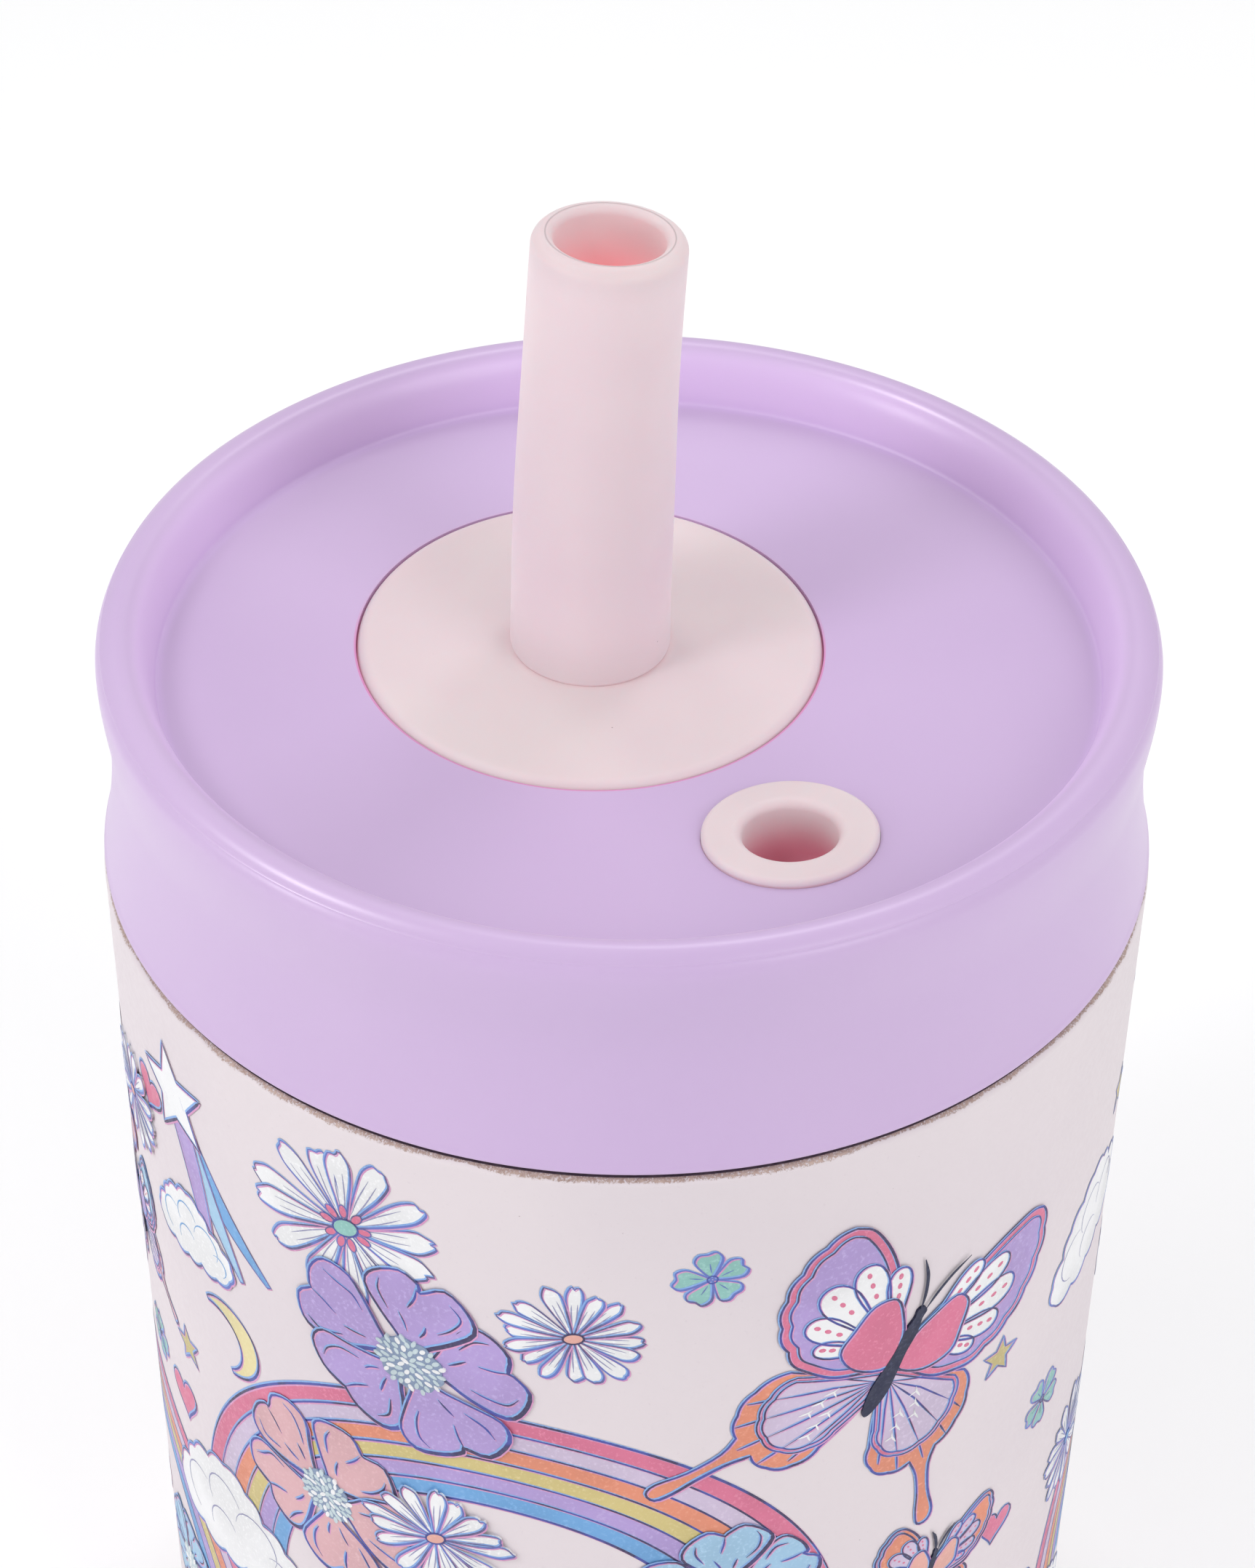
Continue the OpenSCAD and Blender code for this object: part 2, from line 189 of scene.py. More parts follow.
# ---- materials
class Nodes:
    """A node material with a Principled shader and a few shorthand calls."""

    def __init__(self, name):
        self.mat = bpy.data.materials.new(name)
        self.mat.use_nodes = True
        self.tree = self.mat.node_tree
        self.shader = self.tree.nodes["Principled BSDF"]
        self.coords = self.add("ShaderNodeTexCoord").outputs["Object"]
        self.height = None

    def feed(self, socket, value):
        """Sets an input from a number, a colour or another node's output."""
        if isinstance(value, bpy.types.NodeSocket):
            self.tree.links.new(value, socket)
        else:
            socket.default_value = value

    def add(self, kind, inputs={}, **values):
        """A new node with its properties set and its inputs fed, by name or number."""
        node = self.tree.nodes.new(kind)
        for key, value in values.items():
            setattr(node, key, value)
        for key, value in inputs.items():
            self.feed(node.inputs[key], value)
        return node

    def put(self, **values):
        """Sets inputs of the shader; an underscore stands for a space in their names."""
        for name, value in values.items():
            self.feed(self.shader.inputs[name.replace("_", " ")], value)

    def noise(self, size_mm, detail=2.0, rough=0.5, stretch=(1, 1, 1)):
        """Noise, 0 to 1, whose features are about size_mm across."""
        place = self.add("ShaderNodeMapping", {"Scale": stretch, "Vector": self.coords}).outputs["Vector"]
        values = {"Scale": 1 / (size_mm * MM), "Detail": detail, "Roughness": rough, "Vector": place}
        return self.add("ShaderNodeTexNoise", values).outputs["Fac"]

    def cells(self, size_mm):
        """Distance to the nearest of scattered points, about size_mm apart."""
        values = {"Scale": 1 / (size_mm * MM), "Vector": self.coords}
        return self.add("ShaderNodeTexVoronoi", values).outputs["Distance"]

    def span(self, value, low, high, to_low=0.0, to_high=1.0):
        """Maps value from low..high to to_low..to_high, clamped."""
        values = {"Value": value, "From Min": low, "From Max": high, "To Min": to_low, "To Max": to_high}
        return self.add("ShaderNodeMapRange", values, clamp=True, interpolation_type="SMOOTHSTEP").outputs["Result"]

    def mix(self, share, one, two):
        """Colour one where share is 0, colour two where it is 1."""
        return self.add("ShaderNodeMix", {0: share, 6: one, 7: two}, data_type="RGBA").outputs[2]

    def math(self, operation, a, b=0.0):
        return self.add("ShaderNodeMath", {0: a, 1: b}, operation=operation).outputs[0]

    def times(self, a, b):
        return self.math("MULTIPLY", a, b)

    def plus(self, a, b):
        return self.math("ADD", a, b)

    def vector(self, operation, a, b=(0, 0, 0)):
        """Vector maths: output 0 is a vector, output 1 a number."""
        return self.add("ShaderNodeVectorMath", {0: a, 1: b}, operation=operation).outputs

    def height_mm(self):
        """Height above the table."""
        return self.times(self.add("ShaderNodeSeparateXYZ", {0: self.coords}).outputs[2], 1 / MM)

    def beside(self, middle_y=0.0):
        """Sideways offset from the upright line at middle_y, and its length, in millimetres."""
        side = self.vector("SUBTRACT", self.coords, (0, middle_y * MM, 0))[0]
        flat = self.vector("MULTIPLY", side, (1 / MM, 1 / MM, 0))[0]
        return flat, self.vector("LENGTH", flat)[1]

    def attribute(self, name):
        return self.add("ShaderNodeAttribute", attribute_name=name).outputs["Fac"]

    def bump(self, value, depth_mm, strength=1.0):
        """Adds a bump of depth_mm; calls stack."""
        values = {"Distance": depth_mm * MM, "Strength": strength, "Height": value}
        if self.height is not None:
            values["Normal"] = self.height
        self.height = self.add("ShaderNodeBump", values).outputs["Normal"]
        self.put(Normal=self.height)


def rgb(r, g, b, a=1.0):
    """Linear colour from 0 to 255 display values."""
    def linear(c):
        c /= 255
        return c / 12.92 if c <= 0.04045 else ((c + 0.055) / 1.055) ** 2.4
    return (linear(r), linear(g), linear(b), a)


def finish_piece(obj, material, body, slot, *nodes):
    """Gives a piece its material and body, and hides the CAD nodes it stands for."""
    dress(obj, material)
    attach(obj, body)
    if nodes:
        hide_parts(*nodes)


# ---- body of the cup
COAT_T = 0.08
COAT_TURN = 72  # the coat follows the rounded shoulder for this many degrees
COAT_BOTTOM = 2.2


def make_coat():
    """Powder coat: a thin closed skin on the steel, from the foot up over the rounded shoulder."""
    skin, round_r = 0.02, 0.6
    top, steps = shoulder_z - round_r, 96
    wall = [COAT_BOTTOM + (top - COAT_BOTTOM) * i / steps for i in range(steps)]
    section = arc(foot_r - 3, 3, 3 + COAT_T, 290, 355, 6) + [(wall_r(z) + COAT_T, z) for z in wall if z > 3.4]
    section += arc(cup_r - round_r, top, round_r + COAT_T, 1, COAT_TURN, 10)
    section += arc(cup_r - round_r, top, round_r + skin, COAT_TURN, 1, 6)
    section += [(wall_r(z) + skin, z) for z in (80.0, 40.0, 3.4)] + arc(foot_r - 3, 3, 3 + skin, 355, 290, 6)
    return new_object("powder_coat", revolve(section, 480), sharp=50)


def coat_material():
    m = Nodes("powder_coat")
    base = m.mix(m.span(m.noise(35, 3), 0.35, 0.65), rgb(214, 204, 209), rgb(218, 208, 212))
    grain = m.noise(0.35, 2.5, 0.6)
    base = m.mix(m.span(grain, 0.62, 0.8, 0, 0.3), base, rgb(198, 186, 194))
    speck = m.times(m.span(m.cells(2.9), 0.0, 0.03, 1, 0), m.span(m.noise(6, 1), 0.55, 0.6))
    base = m.mix(speck, base, rgb(150, 132, 140))
    # rubbed edge on the shoulder: brownish specks that thin out downwards
    reach = m.span(m.noise(7, 2), 0.35, 0.65, 0.22, 0.62)
    depth = m.math("DIVIDE", m.math("SUBTRACT", shoulder_z + COAT_T, m.height_mm()), reach)
    rub = m.span(depth, 0.35, 1.0, 1, 0)
    flakes = m.span(m.plus(m.noise(0.2, 3, 0.8), m.times(rub, 0.24)), 0.62, 0.74)
    rub = m.times(flakes, m.span(rub, 0.0, 0.35))
    base = m.mix(rub, base, m.mix(m.noise(0.5, 2), rgb(140, 112, 104), rgb(204, 182, 172)))
    rough = m.span(m.noise(0.6, 2), 0.3, 0.7, 0.42, 0.56)
    m.put(Base_Color=base, Metallic=m.times(rub, 0.2), Roughness=rough, Specular_IOR_Level=0.45)
    m.bump(m.noise(1.6, 2), 0.01, 0.6)
    m.bump(grain, 0.016, 0.7)
    m.bump(m.math("SUBTRACT", 1.0, rub), 0.03, 0.7)
    return m.mat


def steel_material(name, tone, rub_and_shade_z=None):
    """Satin drawn steel with fine lines round the axis; near a given height it is rubbed and dull, and darkened to a
    purplish brown as painted shade of the gap under the lid.
    """
    m = Nodes(name)
    lines = m.noise(0.9, 4, 0.6, (1, 1, 22))
    dark, light = tone - 22, tone + 20
    base = m.mix(lines, rgb(dark, dark - 3, dark - 5), rgb(light, light - 1, light - 2))
    base = m.mix(m.span(m.noise(9, 2), 0.45, 0.85, 0, 0.12), base, rgb(120, 108, 100))
    rough, metal = m.span(lines, 0.3, 0.7, 0.24, 0.42), 1.0
    if rub_and_shade_z is not None:
        # painted shade of the gap under the lid, over rubbed and rougher steel
        near = m.span(m.math("ABSOLUTE", m.math("SUBTRACT", m.height_mm(), rub_and_shade_z)), 0.7, 1.3, 1, 0)
        base = m.mix(near, base, m.mix(m.noise(0.6, 3), rgb(88, 74, 92), rgb(138, 124, 130)))
        rough = m.plus(rough, m.times(near, 0.3))
        metal = m.span(near, 0, 1, 1.0, 0.75)
    m.put(Base_Color=base, Metallic=metal, Roughness=rough)
    m.bump(lines, 0.006, 0.5)
    return m.mat


# ---- lid
THREAD_LEAD = 8.0
FIRST_RIDGE = 4.05  # height of the lid's first ridge above the shoulder
SEAT_ROOM = 0.07  # gap round the straw's disc
skirt_in_r = cup_r - 3.1


def lid_section():
    """Closed section of the lid in (r, z): skirt, rim, dished top and back under it."""
    low, edge = lid_low.z, 0.35
    waist, rim_r = cup_r - 1.2, cup_r - 0.45
    waist_z, bead_z = rim_z - 8, rim_z - 0.1
    skirt = arc(cup_r - edge, low + edge, edge, 270, 360, 6)
    for i in range(1, 29):
        z = low + edge + (waist_z - low - edge) * i / 28
        skirt.append((waist + (cup_r - waist) * (1 - (z - low) / (waist_z - low)) ** 2, z))
    for i in range(1, 25):
        t = i / 24
        skirt.append((waist + (rim_r - waist) * smooth(t), waist_z + (bead_z - waist_z) * t))
    crest_r, crest_z = rim_r - BEAD_R, bead_z + BEAD_R
    bead = arc(crest_r, bead_z, BEAD_R, 6, 90, 30)
    parting = len(bead) * 2 // 5
    bead[parting] = (bead[parting][0] + 0.03, bead[parting][1] + 0.025)
    well_r = cup_r - 5.1
    foot = (well_r, dish_at(well_r))
    bend = [(crest_r, crest_z), (crest_r - 1.75, crest_z), (well_r + 0.35, foot[1] + 2.6), foot]
    well = [bezier(bend, i / 30) for i in range(1, 29)]
    corner = [bezier(bend, 29 / 30), foot, (well_r - 0.3, dish_at(well_r - 0.3))]
    well += [bezier(corner, i / 4) for i in range(5)]
    top = [(r, dish_at(r)) for r in (37.2 - 0.75 * i for i in range(50))] + [(0, dish_at(0))]
    keeper_out, keeper_in, keeper_z = 36.7, 35.2, rim_z - 12.7
    land_z, floor_t = rim_z - 7.5, 2.2
    under = [(r, dish_at(r) - floor_t) for r in [1.1 * i for i in range(32)] + [keeper_in]]
    keeper = [(keeper_in, keeper_z), (keeper_in + 0.3, keeper_z - 0.3)]
    keeper += [(keeper_out - 0.3, keeper_z - 0.3), (keeper_out, keeper_z)]
    land = [(keeper_out, land_z), (skirt_in_r, land_z), (skirt_in_r, low + 0.3), (skirt_in_r + 0.3, low)]
    return skirt + bead + well + top + under + keeper + land


def cylinder_mm(name, r, low, high, place, steps=160):
    return new_object(name, revolve([(0, low), (r, low), (r, high), (0, high)], steps, place))


def thread_ridge(middle, start_z):
    """One ridge of the lid's interrupted thread, swept along its helix, with run-out ends."""
    root_r, crest_r, half_root, half_crest = skirt_in_r + 0.3, skirt_in_r - 1.1, 0.85, 0.4
    length, steps = 50, 20
    bm = bmesh.new()
    rings = []
    for k in range(steps + 1):
        t = k / steps
        a = radians(middle + length * (t - 0.5))
        z = start_z + THREAD_LEAD * length / 360 * (t - 0.5)
        grow = min(1.0, 6 * t, 6 * (1 - t)) ** 0.5
        tip = root_r + (crest_r - root_r) * (0.15 + 0.85 * grow)
        ring = [(root_r, -half_root), (tip, -half_crest), (tip, half_crest), (root_r, half_root)]
        rings.append([bm.verts.new((r * cos(a), r * sin(a), z + dz)) for r, dz in ring])
    for one, two in zip(rings, rings[1:]):
        for i in range(4):
            n = (i + 1) % 4
            bm.faces.new((one[i], one[n], two[n], two[i]))
    bm.faces.new(rings[0])
    bm.faces.new(reversed(rings[-1]))
    return new_object("ridge", bm)


def make_lid():
    """The lid as one solid: turned body, seats and collars for the silicone parts, inner thread."""
    lid = new_object("lid_shell", revolve(resample(lid_section(), 2.5, 0, True), 360), sharp=35)
    straw, vent = tilted(disc_y), tilted(vent_y)
    for name, r, low, place in (
        ("boss", disc_r + 1.6, -3.4, straw), ("collar", 17.4, -9, straw), ("vent_boss", 7.6, -4.5, vent),
    ):
        combine(lid, "UNION", cylinder_mm(name, r, low, -1.0, place))
    for name, r, low, place in (
        ("seat", disc_r + SEAT_ROOM, spout_seat() - 0.01, straw), ("collar_hole", 15.6, -9.5, straw),
        ("vent_seat", vent_r + 0.03, -0.51, vent), ("vent_hole", 5.2, -5.0, vent),
    ):
        combine(lid, "DIFFERENCE", cylinder_mm(name, r, low, 5.0, place, 240))
    for start in (0, 180):
        for i in range(3):
            ridge_z = shoulder_z + FIRST_RIDGE + THREAD_LEAD / 6 * i
            combine(lid, "UNION", thread_ridge(start + 60 * i, ridge_z))
    shade(lid.data, 30)
    return lid


def spout_seat():
    """Height of the silicone disc's underside in its own frame."""
    return disc_r * disc_r / (2 * dish_r) + 0.35 - DISC_T


def lid_material():
    m = Nodes("lid_plastic")
    radius, height = m.beside()[1], m.height_mm()
    base = m.mix(m.noise(30, 2), rgb(193, 168, 208), rgb(201, 177, 213))
    # painted light: a lighter band on the rim's inner wall, just above the dish
    thin = m.times(m.span(radius, 37.4, 38.6), m.span(radius, 39.4, 40.4, 1, 0))
    thin = m.times(thin, m.span(height, dish_z + 1.4, dish_z + 2.4))
    base = m.mix(thin, base, rgb(214, 188, 228))  # painted light: the inner wall round the dish is made lighter in colour
    # painted shade: the crease at the foot of the rim's inner wall is darkened to a deeper violet
    shaded_crease = m.times(m.span(radius, 37.2, 38.6), m.span(radius, 39.2, 39.8, 1, 0))
    shaded_crease = m.times(shaded_crease, m.span(height, dish_z + 0.6, dish_z + 3.6, 1, 0))
    base = m.mix(m.times(shaded_crease, 0.7), base, rgb(184, 152, 210))
    # painted light: the near edge of the straw's seat gets a pink tint and a faint glow, strongest on the side towards
    # the camera, standing in for light bounced off the silicone
    offset, from_straw = m.beside(disc_y)
    ring = m.math("ABSOLUTE", m.math("SUBTRACT", from_straw, disc_r + SEAT_ROOM))
    near = m.span(m.vector("DOT_PRODUCT", offset, (-0.53, -0.85, 0))[1], -6, 3, 0.1, 1)
    seat = m.times(near, m.span(ring, 0.12, 0.18, 1, 0))
    pink = rgb(205, 80, 150)
    m.put(Base_Color=m.mix(m.times(seat, 0.55), base, pink), Emission_Color=pink, Emission_Strength=m.times(seat, 0.07))
    low = m.times(shaded_crease, m.span(height, dish_z + 2.8, dish_z + 3.6, 1, 0))
    rough = m.plus(0.28, m.times(m.noise(12, 2), 0.08))
    m.put(Roughness=m.plus(rough, m.times(low, 0.4)), Specular_IOR_Level=0.42)
    m.put(Subsurface_Weight=0.12, Subsurface_Radius=(1.0, 0.7, 1.0), Subsurface_Scale=0.002)
    m.bump(m.noise(0.25, 2), 0.002, 0.35)
    return m.mat


# ---- silicone parts
DISC_T = 2.2
STRAW_LEN = 38.1
STRAW_BASE_R = 6.6
STRAW_TIP_R = 6.15
BORE_R = 4.4
BEND_BASE = 0.5
BEND_TIP = 4.4


def straw_offset(s):
    """Sideways shift and slope of the straw's centre line, s millimetres above the disc."""
    s = max(0.0, min(STRAW_LEN, s))
    start, end = radians(BEND_BASE), radians(BEND_TIP)
    settle = smooth(s / 3)
    return settle * (start * s + (end - start) * s * s / (2 * STRAW_LEN)), start + (end - start) * s / STRAW_LEN


def make_spout():
    """Straw, disc, plug and tube socket as one turned moulding, with the straw bent gently to one side."""
    under = spout_seat()
    top = under + DISC_T
    tip = top + STRAW_LEN
    lip_out, lip_in, edge, foot = 1.15, 0.75, 1.0, 0.45
    plug_r, plug_z, bore_z = 15.55, -8.5, -2.1
    section = arc(STRAW_TIP_R - lip_out, tip - lip_out, lip_out, 90, 0, 12)
    for t in (i / 40 for i in range(1, 40)):
        r = STRAW_TIP_R + (STRAW_BASE_R - STRAW_TIP_R) * t
        section.append((r, tip - lip_out - (STRAW_LEN - lip_out - foot) * t))
    section += arc(STRAW_BASE_R - foot, top + foot - 0.12, foot, 0, -45, 6) + [(STRAW_BASE_R - 0.1, top)]
    section += [(r, top) for r in (STRAW_BASE_R + 0.6 + 0.8 * i for i in range(15)) if r < disc_r - edge - 0.2]
    section += arc(disc_r - edge, top - edge, edge, 90, 0, 10) + [(disc_r, under + 0.15), (disc_r - 0.15, under)]
    section += [(plug_r, under), (plug_r, plug_z + 0.4), (plug_r - 0.4, plug_z), (plug_r - 1.6, plug_z)]
    section += [(plug_r - 1.9, plug_z + 0.3), (plug_r - 1.9, under - 0.4), (plug_r - 2.3, under)]
    section += [(7.8, under), (7.2, under - 0.6), (7.2, -13.6), (6.8, -14), (5.2, -14)]
    section += [(4.85, -13.6), (4.85, bore_z - 0.05), (BORE_R, bore_z)]
    section += [(BORE_R, bore_z + (tip - lip_in - bore_z) * i / 40) for i in range(1, 40)]
    section += arc(BORE_R + lip_in, tip - lip_in, lip_in, 180, 95, 8)
    lean_back = -asin(disc_y / dish_r)
    to_frame = tilted(disc_y)
    painted_glows, painted_wall_glows = [], []

    def place(p):
        r, s = hypot(p.x, p.y), p.z - top
        # painted glow on the straw's outer wall, fading towards both ends
        painted_wall_glows.append(smooth(s / 5) * smooth((STRAW_LEN - s) / 3) if r > BORE_R + 0.8 else 0.0)
        # painted light: a deeper pink and glow inside the bore, and a little of both at the straw's foot crease and on
        # the disc's lower edge
        if r < BORE_R + 0.72 and p.z > -2.0:
            painted_glows.append(smooth((tip - 1.0 - p.z) / 8))
        elif abs(r - STRAW_BASE_R) < 0.3 and abs(s) < 0.25:
            painted_glows.append(0.12)
        else:
            painted_glows.append(0.4 if r > disc_r - 0.2 and p.z < top - 0.6 else 0.0)
        if s > 0:
            shift, turn = straw_offset(s)
            settle = smooth(s / 3)
            spin = Matrix.Rotation(turn * settle, 3, "Y") @ Matrix.Rotation(lean_back * settle, 3, "X")
            flat = spin @ Vector((p.x, p.y, 0))
            soft = 0.05 * sin(0.21 * s + 2 * atan2(p.y, p.x)) * smooth(s / 6)
            flat *= 1 + soft / max(r, 1)
            p = Vector((shift, -tan(lean_back) * s * settle, p.z)) + flat
        return to_frame(p)

    obj = new_object("silicone_straw", revolve(section, 160, place), sharp=60)
    store(obj, "depth", painted_glows)
    store(obj, "thin", painted_wall_glows)
    return obj


def store(obj, name, values):
    """Keeps one number per vertex on the mesh."""
    attribute = obj.data.attributes.new(name, "FLOAT", "POINT")
    attribute.data.foreach_set("value", values)


def make_vent():
    """Grommet with a rounded lip, and under it a duckbill that narrows from round to a slit."""
    top, under, hole_r, stem_r, lip = 0.7, -0.5, 3.8, 5.15, 0.8
    bill_top, bill_end, count = -4.6, -10.0, 14
    section = arc(hole_r + lip, top - lip, lip, 180, 90, 10)
    section += [(5.0, top), (5.8, top - 0.01)] + arc(vent_r - 0.5, top - 0.5, 0.5, 90, 0, 8)
    section += [(vent_r, under + 0.1), (vent_r - 0.1, under), (stem_r, under), (stem_r, bill_top)]
    section += [(stem_r - 0.15, bill_top + (bill_end - bill_top) * i / count) for i in range(1, count + 1)]
    section += [(hole_r, bill_end + (bill_top - bill_end) * i / count) for i in range(count + 1)]
    section += [(hole_r, bill_top + (top - lip - bill_top) * i / 8) for i in range(1, 8)]
    to_frame = tilted(vent_y)
    painted_glows = []

    def place(p):
        r = hypot(p.x, p.y)
        # painted light: a deeper pink and glow inside the hole and on the flange's lower edge
        if r < hole_r + 0.6 and p.z > bill_end:
            painted_glows.append(smooth((top - 0.7 - p.z) / 4.2))
        else:
            painted_glows.append(0.35 if r > vent_r - 0.15 and p.z < top - 0.45 else 0.0)
        if p.z < bill_top:
            t = (bill_top - p.z) / (bill_top - bill_end)
            end = 0.7 if r > hole_r + 0.5 else 0.06
            squeeze = (1 - t) + t * end / r
            p = Vector((p.x * (1 - 0.04 * t) * squeeze, p.y, p.z))
        return to_frame(p)

    obj = new_object("silicone_vent", revolve(section, 96, place), sharp=50)
    store(obj, "depth", painted_glows)
    return obj


def silicone_material(name, deep, glow):
    """Matte silicone. Painted light: its holes, creases and gap edges are tinted a deeper pink and glow a little,
    standing in for light through and between the walls, and the straw's outer wall glows faintly.
    """
    m = Nodes(name)
    base = m.mix(m.span(m.noise(16, 2), 0.35, 0.65), rgb(216, 199, 203), rgb(219, 204, 206))
    base = m.mix(m.span(m.noise(9, 2), 0.5, 0.75, 0, 0.16), base, rgb(217, 188, 194))
    speck = m.times(m.span(m.cells(3.1), 0.0, 0.03, 1, 0), m.span(m.noise(4, 1), 0.5, 0.56))
    base = m.mix(speck, base, rgb(120, 96, 104))
    depth, thin = m.attribute("depth"), m.attribute("thin")
    # painted light: depth deepens the pink and adds glow, thin adds a faint glow
    m.put(Base_Color=m.mix(depth, base, deep), Emission_Color=m.mix(depth, rgb(232, 208, 212), deep))
    m.put(Emission_Strength=m.plus(m.times(depth, glow), m.times(thin, 0.085)))
    m.put(Roughness=m.span(m.noise(2, 3), 0.3, 0.7, 0.48, 0.6), Specular_IOR_Level=0.4)
    m.put(Subsurface_Weight=0.45, Subsurface_Radius=(1.0, 0.45, 0.5), Subsurface_Scale=0.0016)
    m.put(Sheen_Weight=0.12, Sheen_Roughness=0.5)
    m.bump(m.noise(0.3, 2), 0.003, 0.4)
    m.bump(m.noise(6, 2), 0.05, 0.15)
    return m.mat


def make_gasket():
    """Sealing ring with two soft lips."""
    low, high = gasket_low.z, gasket_high.z
    inner_r, outer_r = 36.72, 40.0
    section = [(inner_r, low + 0.3), (inner_r + 0.3, low), (inner_r + 1.0, low + 0.35)]
    section += [(outer_r - 1.1, low + 0.35)] + arc(outer_r - 0.5, low + 0.5, 0.5, 250, 360, 6)
    section += arc(outer_r - 0.5, high - 0.5, 0.5, 0, 90, 6) + [(inner_r + 0.3, high), (inner_r, high - 0.3)]
    return new_object("seal_ring", revolve(section, 240), sharp=40)


def tube_material():
    m = Nodes("tube_plastic")
    rough = m.plus(0.12, m.times(m.noise(6, 2), 0.06))
    m.put(Base_Color=m.mix(m.noise(9, 2), rgb(236, 240, 242), (1, 1, 1, 1)), Roughness=rough)
    m.put(Transmission_Weight=0.65, IOR=1.3)
    m.bump(m.noise(5, 1), 0.01, 0.1)
    return m.mat


def dull_material(name, low, high, size, rough):
    """Grainy solid finish for the small parts inside the vacuum space."""
    m = Nodes(name)
    rough = m.span(m.noise(size, 2), 0.3, 0.7, rough, rough + 0.2)
    m.put(Base_Color=m.mix(m.noise(size, 4, 0.7), low, high), Roughness=rough)
    m.bump(m.noise(size / 2, 2), 0.03, 0.8)
    return m.mat


# ---- print: shapes on a flat sheet
SHEET_R = 42.4  # the print's flat sheet is measured along a circle of this radius
INK_BOTTOM = 0.05  # inks are rooted inside the coat
INK_STEP = 0.022
CORE_GRID = 1.3
LINE_WEIGHT = 1.15
BLUE_SHIFT = (-0.11, 0.12)
PINK_SHIFT = (0.1, -0.12)
rng = random.Random(7)


def about(value, share):
    """A value changed at random by up to the given share."""
    return value * (1 + share * rng.uniform(-1, 1))


def polar(r, degrees, centre=(0, 0)):
    t = radians(degrees)
    return (centre[0] + r * cos(t), centre[1] + r * sin(t))


def spline(points, closed=False, steps=5):
    """Smooth curve through the points."""
    n = len(points)
    out = []
    for i in range(n if closed else n - 1):
        a = points[i - 1] if closed or i > 0 else points[0]
        b, c = points[i], points[(i + 1) % n]
        d = points[(i + 2) % n] if closed or i + 2 < n else points[-1]
        for k in range(steps):
            t = k / steps
            out.append(tuple(
                0.5 * (2 * q + (r - p) * t + (2 * p - 5 * q + 4 * r - s) * t * t + (3 * q - p - 3 * r + s) * t ** 3)
                for p, q, r, s in zip(a, b, c, d)
            ))
    return out if closed else out + [points[-1]]


def scallops(points, bulge):
    """Bows from point to point; a positive bulge swells to the right of the way along."""
    out = []
    for (x0, y0), (x1, y1) in zip(points, points[1:]):
        dx, dy = x1 - x0, y1 - y0
        for t in (k / 6 for k in range(6)):
            swell = 4 * bulge * t * (1 - t)
            out.append((x0 + dx * t + dy * swell, y0 + dy * t - dx * swell))
    return out + [points[-1]]


def side_step(path, distance, closed=True):
    """The path moved sideways to its left by a distance."""
    n = len(path)
    out = []
    for i, (x, y) in enumerate(path):
        before = path[i - 1] if closed or i > 0 else path[0]
        after = path[(i + 1) % n] if closed or i + 1 < n else path[-1]
        dx, dy = after[0] - before[0], after[1] - before[1]
        size = hypot(dx, dy) or 1
        out.append((x - dy / size * distance, y + dx / size * distance))
    return out


def signed_area(path):
    return sum(a[0] * b[1] - b[0] * a[1] for a, b in zip(path, path[1:] + path[:1])) / 2


def inset(path, distance):
    """A closed path shrunk by a distance."""
    return side_step(path, distance if signed_area(path) > 0 else -distance)


def inside(point, path):
    x, y = point
    odd = False
    for (x0, y0), (x1, y1) in zip(path, path[1:] + path[:1]):
        if (y0 > y) != (y1 > y) and x < (x1 - x0) * (y - y0) / (y1 - y0) + x0:
            odd = not odd
    return odd


